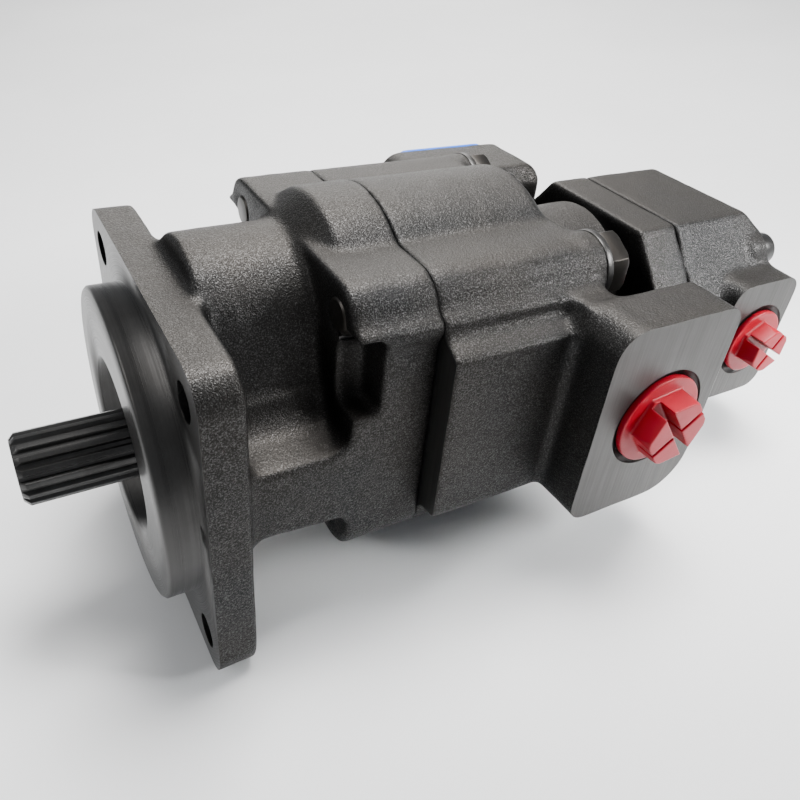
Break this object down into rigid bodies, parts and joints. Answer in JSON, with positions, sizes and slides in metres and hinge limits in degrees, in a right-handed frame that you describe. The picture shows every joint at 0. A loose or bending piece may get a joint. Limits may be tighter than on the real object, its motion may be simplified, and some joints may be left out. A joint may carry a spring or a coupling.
{
  "type": "tandem hydraulic gear pump",
  "caption": "Tandem hydraulic gear pump with a square bolt flange, splined drive shaft, side ports closed by plugs and a smaller rear section behind a neck.",
  "frame": {"origin": "centre of the mounting flange's face, on the drive shaft's axis", "axes": "+X along the pump away from the drive shaft's end, +Y towards the inlet side, +Z from the drive gear's axis to the driven gear's axis"},
  "size_m": [0.3513, 0.2087, 0.1684],
  "materials": {
    "cast_iron": "shot-blasted casting, machined on the flange and port faces",
    "black_steel": "black oxide",
    "ground_steel": "ground",
    "washer_steel": "plain zinc",
    "bronze": "machined",
    "seal_rubber": "satin",
    "red_plastic": "satin moulded",
    "blue_plastic": "satin moulded"
  },
  "bodies": {
    "pump_housing": {"front_cover": "cast_iron", "gear_housing": "cast_iron", "rear_mounting_cover": "cast_iron", "rear_gear_housing": "cast_iron", "front_drive_bushing": "bronze", "front_driven_bushing": "bronze", "back_drive_bushing": "bronze", "back_driven_bushing": "bronze", "rear_section_front_drive_bushing": "bronze", "rear_section_front_driven_bushing": "bronze", "rear_section_back_drive_bushing": "bronze", "rear_section_back_driven_bushing": "bronze", "front_thrust_plate": "bronze", "back_thrust_plate": "bronze", "rear_section_front_thrust_plate": "bronze", "rear_section_back_thrust_plate": "bronze", "shaft_seal": "seal_rubber", "seal_retaining_ring": "black_steel", "housing_seal": "seal_rubber", "rear_housing_seal": "seal_rubber", "adapter_o_ring": "seal_rubber", "through_bolts": "black_steel", "bolt_washers": "washer_steel", "rear_cap_screws": "black_steel", "adapter_screws": "black_steel", "dowel_pins": "ground_steel", "rear_dowel_pins": "ground_steel"},
    "drive_line": {"drive_gear_shaft": "black_steel", "coupling_shaft": "ground_steel", "rear_drive_gear_shaft": "ground_steel"},
    "driven_gear": {"driven_gear_shaft": "ground_steel"},
    "rear_driven_gear": {"rear_driven_gear_shaft": "ground_steel"},
    "outlet_plug": {"outlet_plug": "red_plastic"},
    "rear_outlet_plug": {"rear_outlet_plug": "red_plastic"},
    "inlet_cap": {"inlet_cap": "blue_plastic"}
  },
  "joints": [
    {"name": "drive_spin", "type": "hinge", "parent": "pump_housing", "child": "drive_line", "pos_m": [0, 0, 0], "axis": [1, 0, 0], "continuous": true},
    {"name": "driven_spin", "type": "hinge", "parent": "pump_housing", "child": "driven_gear", "pos_m": [0, 0, 0.0508], "axis": [1, 0, 0], "continuous": true},
    {"name": "rear_driven_spin", "type": "hinge", "parent": "pump_housing", "child": "rear_driven_gear", "pos_m": [0, 0, 0.0381], "axis": [1, 0, 0], "continuous": true},
    {"name": "outlet_plug_slide", "type": "slide", "parent": "pump_housing", "child": "outlet_plug", "axis": [0, -1, 0], "range_m": [0, 0.03]},
    {"name": "rear_outlet_plug_slide", "type": "slide", "parent": "pump_housing", "child": "rear_outlet_plug", "axis": [0, -1, 0], "range_m": [0, 0.03]},
    {"name": "inlet_cap_slide", "type": "slide", "parent": "pump_housing", "child": "inlet_cap", "axis": [0, 1, 0], "range_m": [0, 0.03]}
  ],
  "couplings": [
    {"joint": "driven_spin", "follows": "drive_spin", "ratio": -1},
    {"joint": "rear_driven_spin", "follows": "drive_spin", "ratio": -1}
  ]
}
